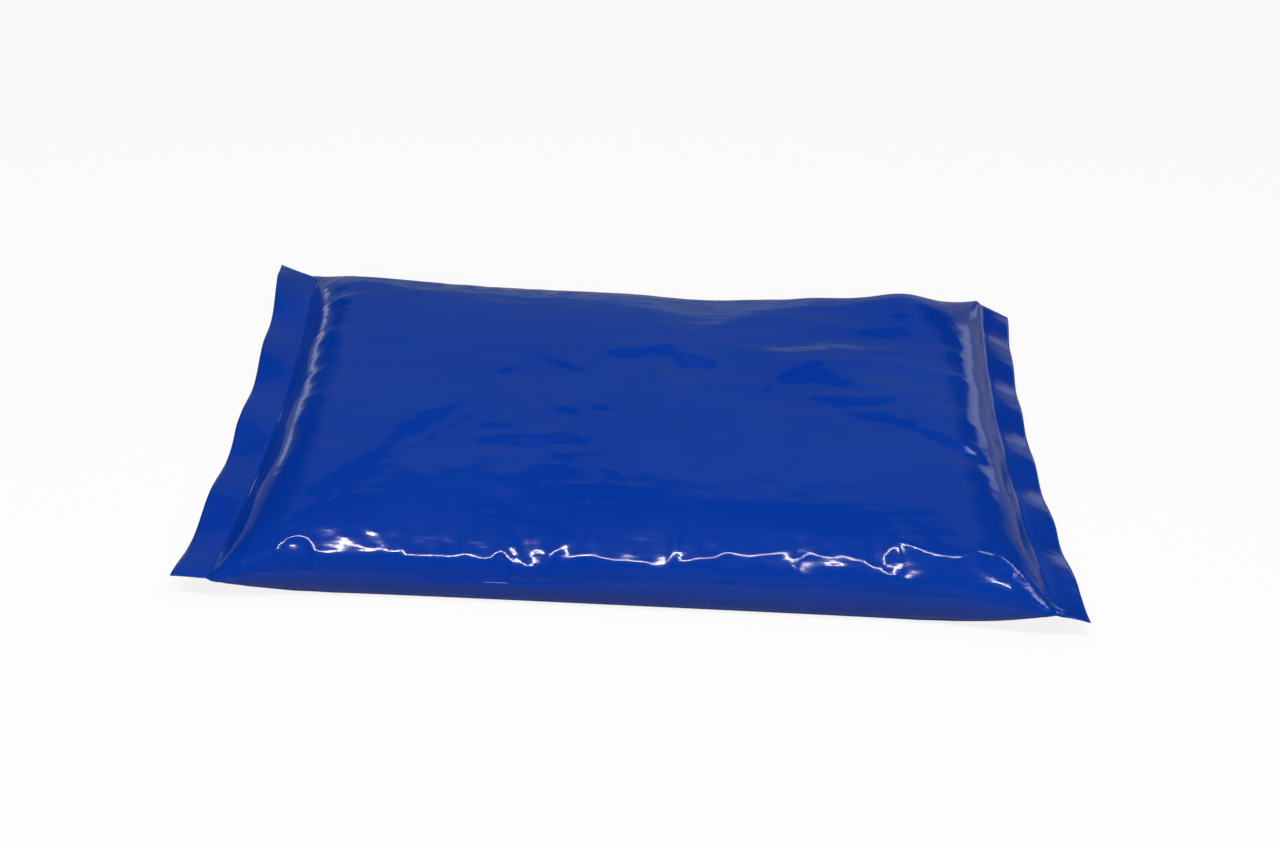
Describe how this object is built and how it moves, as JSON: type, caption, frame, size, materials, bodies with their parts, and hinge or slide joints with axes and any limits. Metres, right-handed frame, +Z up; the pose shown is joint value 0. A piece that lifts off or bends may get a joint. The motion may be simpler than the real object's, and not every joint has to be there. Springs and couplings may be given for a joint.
{
  "type": "reusable ice pack",
  "caption": "Soft gel ice pack lying flat: a plump rectangular film pouch with rounded long sides and a thin wavy heat-sealed fin across each short end.",
  "frame": {"origin": "centre of the pack's outline on the table it lies on", "axes": "+X along the tube from the end with the raised fin to the other, +Y from the front fold to the back fold, +Z up from the table"},
  "size_m": [0.2778, 0.1636, 0.0271],
  "materials": {
    "film": "glossy opaque blue polyethylene film over gel"
  },
  "bodies": {
    "root": {"gel_pouch": "film"}
  },
  "joints": []
}
